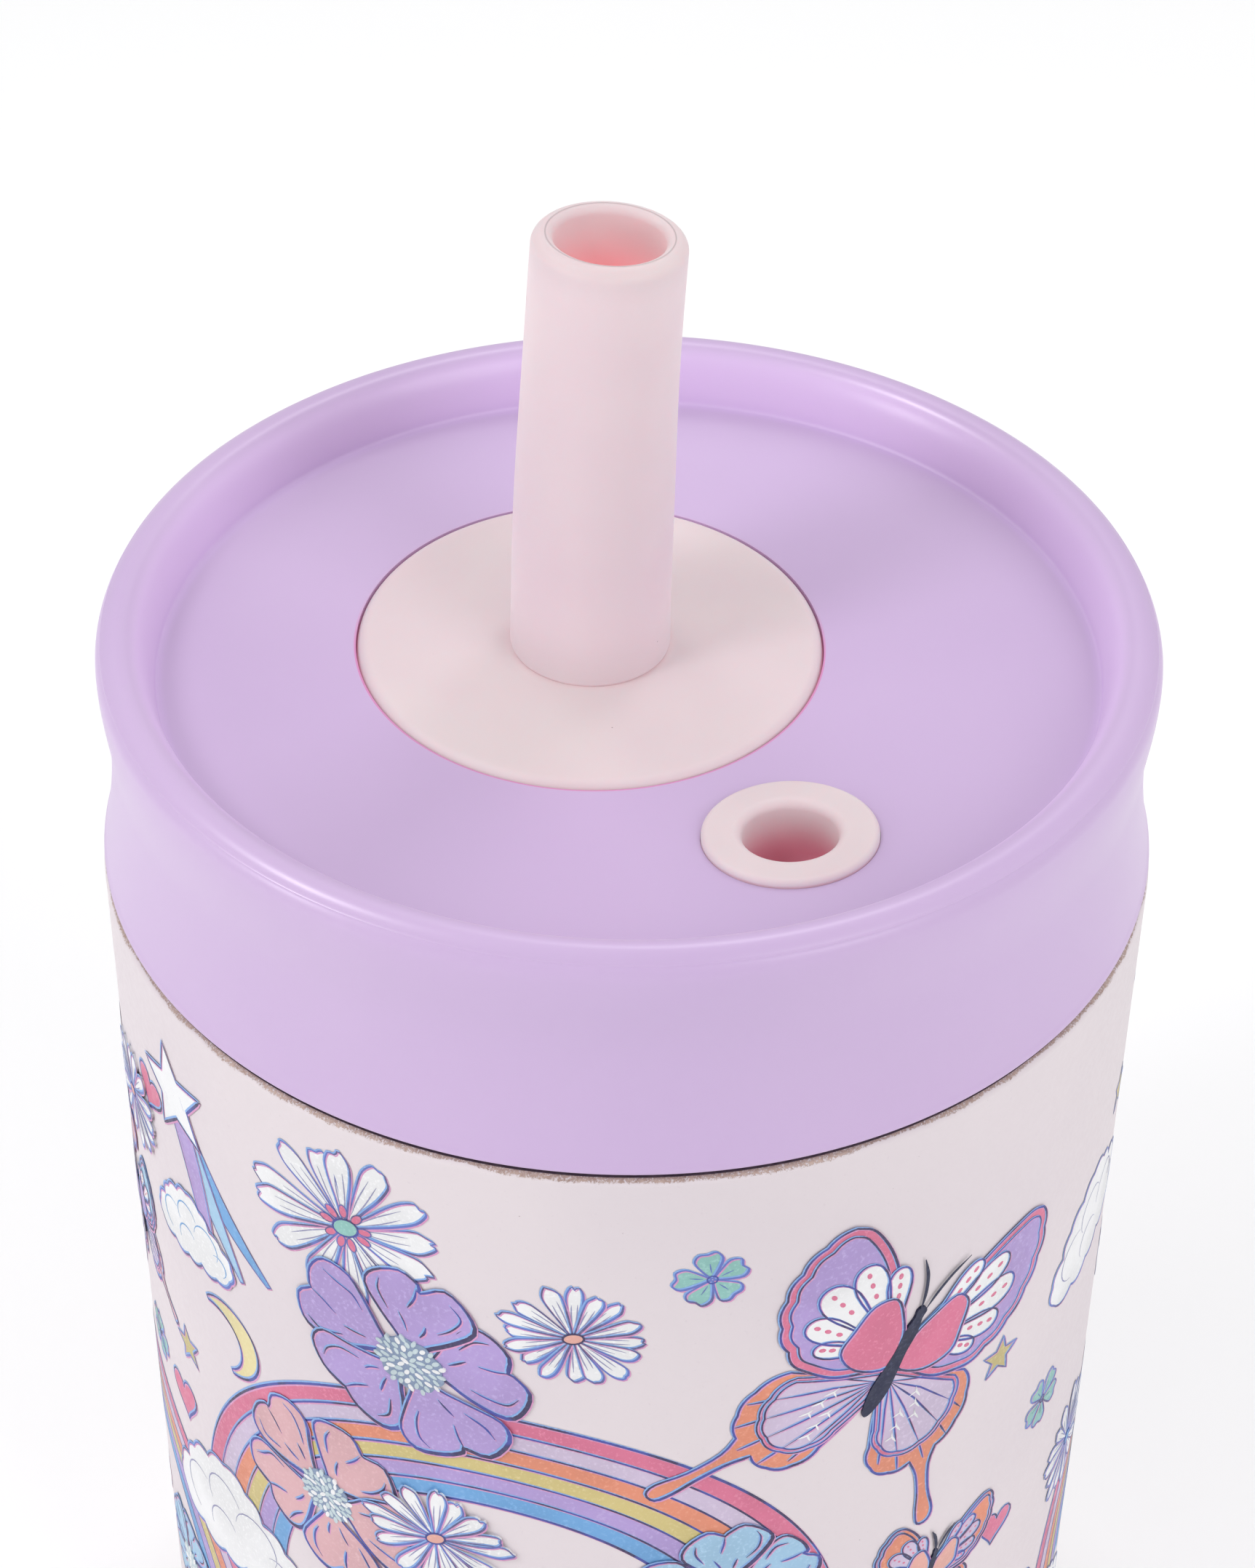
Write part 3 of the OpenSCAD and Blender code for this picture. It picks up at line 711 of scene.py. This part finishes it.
class Print:
    """Layers of raised ink, drawn on a flat sheet and wrapped round the body."""

    def __init__(self):
        self.inks = {}
        self.at(0, 0)

    def at(self, u, h, turn=0, squash=1.0, lean=0, level=0, size=1.0):
        """Starts a motif at u along the sheet and h above the table."""
        self.u, self.h, self.size, self.squash, self.level, self.side = u, h, size, squash, level, 1
        self.turn, self.lean = radians(turn), radians(lean)
        return self

    def spot(self, p):
        x, y = self.side * p[0] * self.size, p[1] * self.size
        c, s = cos(self.turn - self.lean), sin(self.turn - self.lean)
        x, y = x * c - y * s, (x * s + y * c) * self.squash
        c, s = cos(self.lean), sin(self.lean)
        return (self.u + x * c - y * s, self.h + x * s + y * c)

    def lift(self, level):
        return COAT_T + INK_STEP * (1 + self.level + level)

    def store(self, ink, points, faces):
        verts, kept = self.inks.setdefault(ink, ([], []))
        first = len(verts)
        for u, h, lift in points:
            a, r = u / SHEET_R, wall_r(h) + lift
            verts.append((r * sin(a), -r * cos(a), h))
        kept += [tuple(first + i for i in face) for face in faces]

    def fill(self, ink, outline, level=0):
        """A flat patch of ink with upright edges."""
        path = resample([self.spot(p) for p in outline], CORE_GRID, 0.12, True)
        if signed_area(path) < 0:
            path.reverse()
        n = len(path)
        us, hs = [p[0] for p in path], [p[1] for p in path]
        core = []
        for i in range(int((max(us) - min(us)) / CORE_GRID) + 1):
            for j in range(int((max(hs) - min(hs)) / CORE_GRID) + 1):
                p = (min(us) + CORE_GRID * (i + 0.5), min(hs) + CORE_GRID * (j + 0.5 * (i % 2) + 0.25))
                if inside(p, path) and min(dist(p, q) for q in path) > 0.4 * CORE_GRID:
                    core.append(p)
        edges = [(i, (i + 1) % n) for i in range(n)]
        flat, _, faces, *_ = delaunay_2d_cdt([Vector(p) for p in path + core], edges, [], 1, 1e-6)
        count = len(flat)
        used = {(a, b): True for face in faces for a, b in zip(face, face[1:] + face[:1])}
        lift = self.lift(level)
        points = [(p.x, p.y, lift) for p in flat] + [(p.x, p.y, INK_BOTTOM) for p in flat]
        solid = [tuple(face) for face in faces] + [tuple(count + i for i in reversed(face)) for face in faces]
        solid += [(b, a, a + count, b + count) for a, b in used if (b, a) not in used]
        self.store(ink, points, solid)

    def ribbon(self, ink, path, widths, lift, crest, closed):
        """A line of ink with a low rounded ridge."""
        n = len(path)
        left = side_step(path, 1, closed)
        points = []
        for (x, y), (lx, ly), w in zip(path, left, widths):
            sx, sy = (lx - x) * w / 2, (ly - y) * w / 2
            points += [(x + sx, y + sy, lift), (x, y, lift + crest), (x - sx, y - sy, lift)]
        faces = []
        for i in range(n if closed else n - 1):
            a, b = 3 * i, 3 * ((i + 1) % n)
            faces += [(a + 1, b + 1, b, a), (a + 2, b + 2, b + 1, a + 1), (a, b, b + 2, a + 2)]
        if not closed:
            faces += [(0, 2, 1), (3 * n - 3, 3 * n - 2, 3 * n - 1)]
        self.store(ink, points, faces)

    def line(self, path, width, level=0, ink="line", closed=False, fringe=True, swell=0.0):
        """An outline or fold line; swell makes its lower right side heavier, open ends run out thin."""
        path = resample([self.spot(p) for p in path], 0.6, 0.2, closed)
        n = len(path)
        if closed and signed_area(path) < 0:
            path.reverse()
        out = side_step(path, -1, closed)
        widths = []
        for i, (p, q) in enumerate(zip(path, out)):
            w = LINE_WEIGHT * width
            if closed:
                w *= 0.85 + swell * max(0, 0.6 * (q[0] - p[0]) - 0.8 * (q[1] - p[1]))
            else:
                w *= 0.3 + 0.7 * smooth(min(i, n - 1 - i) / (0.3 * n))
            widths.append(w)
        lift = self.lift(level + 0.3)
        self.ribbon(ink, path, widths, lift, 0.5 * INK_STEP, closed)
        if fringe:
            for name, (du, dh), drop in (("line_blue", BLUE_SHIFT, 0.08), ("line_pink", PINK_SHIFT, 0.16)):
                moved = [(u + du, h + dh) for u, h in path]
                self.ribbon(name, moved, widths, lift - drop * INK_STEP, 0.2 * INK_STEP, closed)

    def patch(self, ink, outline, width, level=0, edge="line", fringe=True, swell=0.0):
        """A filled shape with its outline."""
        self.fill(ink, outline, level)
        self.line(outline, width, level, edge, True, fringe, swell)


# ---- print: motifs
LONG_PETAL = [(0, 0.12), (0.3, 0.5), (0.6, 0.88), (0.82, 1), (0.95, 0.66), (1, 0.22), (0.97, 0)]
BROAD_PETAL = [(0.08, 0.04), (0.26, 0.24), (0.46, 0.66), (0.7, 1), (0.9, 0.9), (1.01, 0.42), (0.94, 0.03)]
CLEFT_PETAL = [(0.04, 0.05), (0.36, 0.58), (0.72, 1), (0.97, 0.62), (0.9, 0)]
CELL = [(0, 0.1), (0.4, 0.52), (0.75, 0.98), (0.94, 0.72), (1, 0)]


def turned(points, degrees, centre=(0, 0)):
    """The points turned about the origin, then moved to a centre."""
    c, s = cos(radians(degrees)), sin(radians(degrees))
    return [(centre[0] + x * c - y * s, centre[1] + x * s + y * c) for x, y in points]


def petal(profile, degrees, reach, half, wobble=0, root=(0, 0)):
    """A closed petal from a half profile of (length, width) shares."""
    sides = profile + [(x, -y) for x, y in reversed(profile) if y > 0]
    points = [(about(x, wobble) * reach, about(y, wobble) * half) for x, y in sides]
    return spline(turned(points, degrees, root), True, 3)


def oval(a, b, degrees=0, centre=(0, 0), count=16):
    ring = [(a * cos(t), b * sin(t)) for t in (TURN * k / count for k in range(count))]
    return turned(ring, degrees, centre)


def daisy(art, petals, reach, core="peach", ring=False):
    """White daisy: overlapping long petals round a small oval centre."""
    half = 2.15 * reach / petals
    for k in range(petals):
        a = 360 / petals * (k + rng.uniform(-0.25, 0.25))
        length, layer = about(reach, 0.1), k % 2
        shape = petal(LONG_PETAL, a, length, about(half, 0.12), 0.04, polar(0.08 * reach, a))
        art.patch("white", shape, 0.15, layer, "fine", swell=0.5)
        for side in (0.32, -0.28):
            fold = [(0.24, 0.4), (0.5, 1), (about(0.78, 0.1), 1.1)]
            fold = turned([(x * length, y * side * half) for x, y in fold], a)
            art.line(spline(fold), 0.1, layer, "fold", fringe=False)
    if ring:
        for k in range(9):
            a = 40 * k + rng.uniform(-6, 6)
            bud = oval(about(0.66, 0.1), 0.38, a, polar(1.75, a), 12)
            art.patch("rose", bud, 0.12, 2, "fine", fringe=False)
    art.patch(core, oval(about(0.155, 0.05) * reach, 0.115 * reach, 15), 0.18, 3, fringe=False)


def bloom(art, reach, ink):
    """Broad five-petalled flower with fold lines and a cluster of beads."""
    half = 0.49 * reach
    folds = (
        [(0.93, 0.02), (0.8, 0.03), (0.66, 0.07)], [(0.9, -0.28), (0.78, -0.33), (0.62, -0.3), (0.5, -0.22)],
        [(0.84, 0.34), (0.7, 0.34), (0.54, 0.25)], [(0.38, 0.06), (0.46, 0.09), (0.56, 0.13)],
        [(0.37, -0.05), (0.45, -0.08), (0.52, -0.1)],
    )
    for k in range(5):
        a, length = 72 * k + rng.uniform(-5, 5), about(reach, 0.06)
        art.patch(ink, petal(BROAD_PETAL, a, length, about(half, 0.06), 0.05), 0.24, k, swell=0.9)
        for fold in folds[: 4 + k % 2]:
            places = [(x * length, y * about(length, 0.12)) for x, y in fold]
            art.line(spline(turned(places, a)), about(0.17, 0.2), k)
    bed = [polar(0.29 * reach * (1 + 0.05 * sin(9 * TURN * k / 48)), 360 * k / 48) for k in range(48)]
    art.fill("bead_bed", bed, 5)
    beads, golden = 58, 137.5
    for k in range(beads):
        a, r = golden * k, 0.3 * reach * sqrt((k + 0.5) / beads)
        bead = oval(about(0.4, 0.15), about(0.22, 0.15), a + rng.uniform(-25, 25), polar(r, a), 8)
        art.fill(("bead", "white", "bead")[k % 3], bead, 6 + 0.5 * (k % 2))


def clover(art, reach):
    for k in range(5):
        shape = petal(CLEFT_PETAL, 72 * k + rng.uniform(-6, 6), about(reach, 0.05), 0.37 * reach, 0.04)
        art.patch("teal", shape, 0.17, 0, "fine", swell=0.6)
        vein = [(0.25 * reach, 0), (0.42 * reach, 0.02), (0.6 * reach, 0.03)]
        art.line(turned(vein, 72 * k), 0.1, 0, "fine", fringe=False)
    art.line(oval(0.14 * reach, 0.14 * reach, count=10), 0.14, 0.6, closed=True, fringe=False)


def star(art, reach):
    points = [polar(reach if k % 2 == 0 else 0.44 * reach, 90 + 36 * k) for k in range(10)]
    art.patch("gold", points, 0.15, 0, "fine", swell=0.5)


def heart(art, reach):
    shape = []
    for t in (TURN * k / 28 for k in range(28)):
        y = 13 * cos(t) - 5 * cos(2 * t) - 2 * cos(3 * t) - cos(4 * t)
        shape.append((reach * sin(t) ** 3, reach * (y + 2.5) / 16))
    art.patch("rose", shape, 0.18, swell=0.7)


def cloud(art, reach, trim="fold"):
    """Puffy cloud with a scalloped edge and a few inner curls."""
    rim = [(-1, -0.3), (-1.02, 0.02), (-0.78, 0.26), (-0.6, 0.52), (-0.28, 0.66), (0.02, 0.78), (0.36, 0.66)]
    rim += [(0.58, 0.42), (0.86, 0.24), (1.04, -0.02), (0.96, -0.3), (0.6, -0.46), (0.22, -0.42)]
    rim += [(-0.16, -0.48), (-0.58, -0.44)]
    edge = scallops([(reach * x, reach * y) for x, y in rim + rim[:1]], -0.22)[:-1]
    art.patch("white", edge, 0.18, 0, "fine", swell=0.4)
    for x, y, r, start, end in (
        (-0.52, 0.02, 0.3, 60, 250), (-0.05, 0.26, 0.28, 20, 210), (0.42, 0.08, 0.3, -30, 170),
        (0.7, -0.14, 0.18, -60, 120), (-0.12, -0.16, 0.24, 30, 200),
    ):
        art.line(arc(x * reach, y * reach, r * reach, start, end, 12), 0.14, 0, trim, fringe=False)


def moon(art, reach):
    inner = arc(-0.42 * reach, 0, 0.84 * reach, 94, -94, 20)[1:-1]
    art.patch("pale_gold", arc(0, 0, reach, -110, 110, 24) + inner, 0.2, swell=0.5)


def comet(art, reach):
    """Star with three streaming ribbons."""
    for k, (ink, bend) in enumerate((("sky", 0.24), ("pale_blue", 0.02), ("lilac", -0.22))):
        spine = [(0.1 * reach * j, bend * reach * (j / 10) ** 1.6) for j in range(11)]
        top, low = [
            [(x, y + side * 0.085 * reach * (1 - (i / 11) ** 2)) for i, (x, y) in enumerate(spine)] for side in (1, -1)
        ]
        art.patch(ink, top + low[::-1], 0.16, k, "fine")
    points = [polar((0.3 if k % 2 == 0 else 0.135) * reach, 36 * k + 20) for k in range(10)]
    art.patch("white", points, 0.2, 3, swell=0.5)


def rainbow(art, reach, start, end, width=11):
    inks = ("rose", "pale_lilac", "orange", "mustard", "lilac", "sky")
    bows = [arc(0, 0, reach - width / len(inks) * k, start, end, 90) for k in range(len(inks) + 1)]
    for ink, outer, inner in zip(inks, bows, bows[1:]):
        art.fill(ink, outer + inner[::-1], 0)
    for k, bow in enumerate(bows):
        art.line(bow, 0.24 if k in (0, len(inks)) else 0.18, 0)


def butterfly(art, edge="rose", band="lilac", cell="white", heart_cell="rose", hem="orange", fan="pale_lilac"):
    """Butterfly with scalloped wings, cells that fan out from the body and short tails."""
    lead = spline([(0.6, 2.8), (3, 6.8), (6.2, 10.8), (9.4, 13.2), (11.4, 13.4)])
    rim = [(11.4, 13.4), (13, 11.2), (13.7, 8.3), (13.6, 5.4), (12.6, 2.6), (10.8, 0.3), (8.6, -1.4)]
    upper = lead[:-1] + scallops(rim, -0.13)[:-1] + spline([(8.6, -1.4), (5.6, -1.9), (2.8, -1.3), (0.6, -0.4)])
    hem_rim = scallops([(9.4, -1.8), (11.3, -4.4), (11.5, -7.2), (10.4, -9.6)], -0.12)
    tail = [(10.4, -9.6), (10.7, -11.6), (12.3, -14.4), (14.1, -16.6), (14.3, -17.9), (13.3, -18.3)]
    tail += [(12.3, -17), (11.3, -15), (9.8, -12.7), (8.2, -11.2)]
    low_rim = scallops([(8.2, -11.2), (6.2, -12.2), (4, -11.6), (2.6, -9.4)], -0.14)
    lower = spline([(0.5, -1), (5, -1.5), (9.4, -1.8)])[:-1] + hem_rim[:-1] + spline(tail, steps=3)[:-1]
    lower += low_rim[:-1] + spline([(2.6, -9.4), (1.2, -6), (0.4, -3)])
    fan_rim = [(8.4, -2.7), (9.3, -4.8), (9.1, -7), (7.9, -8.9), (5.9, -9.8), (3.8, -9.2), (2.5, -7.4)]
    fan_shape = [(0.5, -1.4)] + scallops(fan_rim, -0.14) + [(0.8, -4)]
    near = [(0.5, -0.6), (3.6, -1), (6, 0.6), (5.9, 3), (5.3, 5.6), (3.4, 6.4), (1.6, 4.4), (0.5, 2.2)]
    wing_root = (1.2, 1.6)
    for side in (1, -1):
        art.side = side
        art.patch(hem, lower, 0.22, swell=0.5)
        for x, y in fan_rim[1:-1]:
            art.line([(x, y), (x * 1.12, y * 1.12), (x * 1.22, y * 1.22)], 0.16, 0)
        for grow, ink, level in ((0.45, edge, 1), (0, fan, 2)):
            art.patch(ink, inset(fan_shape, -grow), 0.17, level)
        for x, y in fan_rim[:-1]:
            art.line([(0.7, -2.2), (0.5 * x, 0.5 * y - 0.6), (x, y)], 0.15, 2)
        for x, y in ((4.4, -3.4), (5, -4.6), (5.6, -5.8), (3.8, -5.6), (4.2, -7), (4.4, -8.2)):
            for tip in (0.7, -0.5):
                art.line([(x - 0.3, y + 0.5), (x, y), (x + tip, y - 0.5)], 0.18, 2.3, "white", fringe=False)
        art.patch(edge, upper, 0.22, 3, swell=0.5)
        art.patch(band, inset(upper, 0.85), 0.18, 4)
        for a, reach, half in ((66, 8.8, 1.15), (48, 10.8, 1.5), (29, 11, 1.65), (10, 9.6, 1.35), (-6, 7.6, 0.95)):
            art.patch(cell, petal(CELL, a, reach, half, 0, wing_root), 0.18, 5, swell=0.4)
            for share in (0.64, 0.77, 0.89):
                art.fill("rose", oval(0.34, 0.22, a, polar(share * reach, a, wing_root), 8), 5.4)
        art.patch(heart_cell, spline(near, True, 4), 0.2, 6.5, swell=0.4)
    art.side = 1
    body = [(0, 5.6), (0.5, 5.2), (0.42, 4.4), (0.72, 3), (0.62, 1), (0.8, -1), (0.95, -3.2), (0.55, -5.2)]
    body += [(0, -5.9)]
    art.fill("navy", spline(body + [(-x, y) for x, y in reversed(body[1:-1])], True, 3), 7.6)
    for side in (1, -1):
        art.side = side
        art.line(spline([(0.25, 5.2), (0.7, 7), (1.5, 8.8), (2.7, 10.4)]), 0.3, 7.6, "navy", fringe=False)


INK_TONE = 0.93  # inks are a little darker than they look under the bright studio light
INKS = {
    "white": (250, 250, 252), "lilac": (186, 162, 222), "pale_lilac": (216, 199, 226), "rose": (228, 122, 156),
    "orange": (238, 150, 120), "mustard": (220, 202, 136), "gold": (208, 192, 132), "pale_gold": (240, 226, 170),
    "sky": (116, 174, 230), "pale_blue": (168, 208, 238), "teal": (150, 204, 197), "dusty": (228, 180, 186),
    "peach": (238, 178, 166), "navy": (24, 30, 66), "bead": (206, 222, 228), "bead_bed": (140, 158, 188),
    "line": (66, 58, 98), "fine": (100, 94, 140), "fold": (158, 158, 196),
    "line_blue": (140, 182, 240), "line_pink": (226, 158, 204),
}
BLUER = {"line": (70, 78, 156), "fine": (98, 112, 184)}  # what the line inks drift towards in places


def ink_material(name, display):
    """Matte printed ink over powder coat: grain, faint mottle and thin spots."""
    m = Nodes("ink_" + name)
    tone = [INK_TONE * c for c in display]
    deep = rgb(*(0.94 * c for c in tone))
    pale = rgb(*(c + 0.12 * (255 - c) for c in tone))
    base = m.mix(m.span(m.noise(9, 3), 0.35, 0.65), deep, rgb(*tone))
    grain = m.noise(0.35, 2.5, 0.6)
    base = m.mix(m.span(grain, 0.5, 0.74), base, pale)
    if name in BLUER:
        base = m.mix(m.span(m.noise(3.5, 2), 0.42, 0.58), base, rgb(*BLUER[name]))
    m.put(Base_Color=base, Roughness=m.span(m.noise(0.8, 2), 0.3, 0.7, 0.4, 0.55), Specular_IOR_Level=0.4)
    m.bump(grain, 0.016, 0.7)
    return m.mat


def draw_print():
    """The whole print for half a turn, as motifs placed along the sheet."""
    art = Print()
    # rainbows, with their clouds over the feet
    rainbow(art.at(-35, 45.5), 31, 180, 0)
    rainbow(art.at(49, 26), 26, 178, 2, 9.5)
    cloud(art.at(-63, 45, 4, level=2), 9.5)
    cloud(art.at(-9, 40, -4, level=2), 9)
    cloud(art.at(27, 22, 4, level=2), 7.5)
    cloud(art.at(27, 74, 10, level=1), 8)
    cloud(art.at(-65, 79, 6, level=4), 5.8, "sky")
    # flowers: along the sheet, height, turn, squash, lean, level
    daisy(art.at(-45.9, 93, 12), 14, 7.7, "teal", ring=True)
    bloom(art.at(-40.6, 80.2, 10, 0.88, -40, 4), 10.4, "lilac")
    daisy(art.at(-27.3, 86.6, 0, 0.9), 16, 5.4)
    bloom(art.at(-49.4, 59.6, 60, 0.84, -55, 3), 9.4, "dusty")
    daisy(art.at(-38.9, 60, 20, 0.88, 0, 10), 15, 5.8)
    bloom(art.at(-14.5, 55.6, 25, 0.9, 20, 3), 8, "pale_blue")
    daisy(art.at(28.5, 45.5, 10, level=2), 15, 5.2, "sky")
    bloom(art.at(47, 80.5, 30, 0.88, 30), 8.4, "dusty")
    daisy(art.at(57, 86, 0, 0.9, 0, 8), 15, 5)
    daisy(art.at(41, 62, 0, 0.9, 20), 15, 5.2, "teal")
    bloom(art.at(-48, 28, 10, 0.88, -20), 8.2, "lilac")
    daisy(art.at(-37, 33, 0, 0.9, 0, 8), 15, 5)
    bloom(art.at(3, 27, 40, 0.88, 25), 7.6, "dusty")
    daisy(art.at(-18, 22), 14, 6, "teal", ring=True)
    daisy(art.at(44, 13, 0, 0.9), 15, 4.8)
    bloom(art.at(60, 30, 0, 0.9, 0, 2), 6.4, "pale_blue")
    # the large butterfly and its smaller mates
    butterfly(art.at(-0.8, 78.4, -26, level=2))
    butterfly(art.at(5, 48.6, -14, size=0.5), "orange", "orange", "pale_lilac", "peach", "orange", "white")
    butterfly(art.at(54, 70, 18, size=0.48), "sky", "pale_blue", "white", "lilac", "dusty", "pale_lilac")
    butterfly(art.at(-34, 14, 12, size=0.5), "rose", "dusty", "white", "lilac", "sky", "pale_blue")
    # night sky at the side
    comet(art.at(-66, 94, -62), 17)
    moon(art.at(-60.5, 70.5, 25), 4)
    # filling in between: along the sheet, height, turn, reach
    small = {
        clover: (
            (-16.7, 93, 25, 3), (19.6, 58.8, 50, 2.9), (40, 92, 10, 3), (-58, 26, 30, 2.8),
            (12, 14, 60, 2.8), (56.5, 56.5, 0, 2.6),
        ),
        star: (
            (11.4, 70.8, -8, 2.3), (-68, 63, 12, 2.2), (33, 84, -14, 2.4), (-24, 44, 10, 2.4),
            (41.5, 36, 8, 2.4), (-47, 12, -10, 2.4), (-3, 12, 16, 2.2), (62, 12, 0, 2.2),
        ),
        heart: (
            (13.6, 47.6, -12, 2.2), (-70, 54.6, 10, 2.6), (62, 90, -14, 2.4), (-35, 49, 0, 2.6),
            (49, 31, 0, 2.6), (-66, 14, 8, 2.4), (20, 33, 16, 2.2),
        ),
    }
    for motif, places in small.items():
        for u, h, turn, reach in places:
            motif(art.at(u, h, turn), reach)
    return art


def make_print():
    """One piece for each ink, the drawn half turn and its repeat on the far side."""
    for ink, (verts, faces) in draw_print().inks.items():
        count = len(verts)
        both = [Vector(v) * MM for v in verts] + [Vector((-x, -y, z)) * MM for x, y, z in verts]
        mesh = bpy.data.meshes.new("print_" + ink)
        mesh.from_pydata(both, [], faces + [tuple(count + i for i in face) for face in faces])
        mesh.update()
        obj = add_object("print_" + ink, mesh)
        finish_piece(obj, ink_material(ink, INKS[ink]), "cup", "coated_steel")


# ---- build
finish_piece(make_coat(), coat_material(), "cup", "coated_steel")
finish_piece(make_lid(), lid_material(), "lid", "lid_plastic", "lid")
# the colour and number given here are the painted deep pink and the strength of the painted glow
straw_look = silicone_material("straw_silicone", rgb(232, 150, 156), 0.36)
finish_piece(make_spout(), straw_look, "straw", "straw_silicone", "straw_spout")
vent_look = silicone_material("vent_silicone", rgb(206, 132, 150), 0.11)
finish_piece(make_vent(), vent_look, "vent", "straw_silicone", "vent_valve")
make_print()
gasket_look = silicone_material("gasket_silicone", rgb(230, 230, 232), 0.0)
finish_piece(make_gasket(), gasket_look, "lid_seal", "gasket_silicone", "lid_gasket")

CAD_LOOKS = {
    "outer_shell": steel_material("shell_steel", 172, shoulder_z),
    "inner_liner": steel_material("liner_steel", 200),
    "base_plate": steel_material("plate_steel", 168),
    "base_cap": steel_material("cap_steel", 188),
    "getter_clip": steel_material("clip_steel", 140),
    "getter": dull_material("getter_pellet", rgb(58, 58, 62), rgb(96, 95, 99), 0.5, 0.6),
    "seal_bead": dull_material("seal_glass", rgb(30, 58, 54), rgb(52, 88, 80), 1.5, 0.12),
    "dip_tube": tube_material(),
}
for node, material in CAD_LOOKS.items():
    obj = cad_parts[node]
    dress(obj, material)
    shade(obj.data, 25)


# ---- floor, light and camera
VIEW_TURN = -32
VIEW_RISE = 36.49
VIEW_PITCH = 38.47
VIEW_ROLL = 0.74
VIEW_DISTANCE = 352.8
VIEW_LENS = 100.2
rim_centre = Vector((0, 0, rim_z))


def from_view(right, away, up):
    """A place given as seen from the camera's side of the cup, in millimetres from the rim's centre."""
    return (rim_centre + Matrix.Rotation(radians(VIEW_TURN), 3, "Z") @ Vector((right, away, up))) * MM


def make_floor():
    bm = bmesh.new()
    bmesh.ops.create_grid(bm, x_segments=2, y_segments=2, size=4000)
    floor = new_object("floor", bm)
    m = Nodes("floor")
    m.put(Base_Color=m.mix(m.noise(300, 2), rgb(249, 249, 250), rgb(252, 252, 252)), Roughness=0.9)
    floor.data.materials.append(m.mat)


def area_light(name, place, size, watts, shades, shines):
    """A round soft light aimed at the cup, in the shading, in the reflections or in both."""
    data = bpy.data.lights.new(name, "AREA")
    data.shape = "DISK"
    data.size = size * MM
    data.energy = watts
    light = add_object(name, data)
    light.visible_diffuse, light.visible_glossy = shades, shines
    light.location = place
    light.rotation_euler = (from_view(0, 0, -10) - place).to_track_quat("-Z", "Y").to_euler()


def make_light():
    world = bpy.data.worlds.new("studio")
    scene.world = world
    world.use_nodes = True
    back = world.node_tree.nodes["Background"]
    back.inputs["Color"].default_value = (1, 1, 1, 1)
    back.inputs["Strength"].default_value = 0.6
    for name, place, size, watts, shades, shines in (
        ("key", (-342, -213, 446), 170, 0.8, True, False),
        ("fill", (380, -420, 330), 420, 1.42, True, True),
        ("left", (-450, -150, 120), 300, 0.57, True, False),
        ("right", (450, 0, 200), 300, 0.12, True, True),
        ("back_right", (230, 390, 390), 240, 0.66, True, False),
        ("back_left", (-260, 400, 360), 240, 0.44, True, False),
        ("gloss", (-340, 10, 480), 90, 1.2, False, True),
        ("sheen", (50, 340, 510), 200, 0.55, False, True),
        ("window", (-490, -220, 160), 150, 0.55, False, True),
    ):
        area_light(name, from_view(*place), size, watts, shades, shines)
    scene.view_settings.view_transform = "Standard"


def make_camera():
    data = bpy.data.cameras.new("camera")
    data.lens = VIEW_LENS
    data.sensor_width = 36
    data.clip_start, data.clip_end = 0.01, 20
    camera = add_object("camera", data)
    turn, rise = radians(VIEW_TURN), radians(VIEW_RISE)
    away = Vector((sin(turn) * cos(rise), -cos(turn) * cos(rise), sin(rise)))
    look = Matrix.Rotation(turn, 4, "Z") @ Matrix.Rotation(radians(90 - VIEW_PITCH), 4, "X")
    look = look @ Matrix.Rotation(radians(VIEW_ROLL), 4, "Z")
    camera.matrix_world = Matrix.Translation((rim_centre + away * VIEW_DISTANCE) * MM) @ look
    scene.camera = camera


make_floor()
make_light()
make_camera()
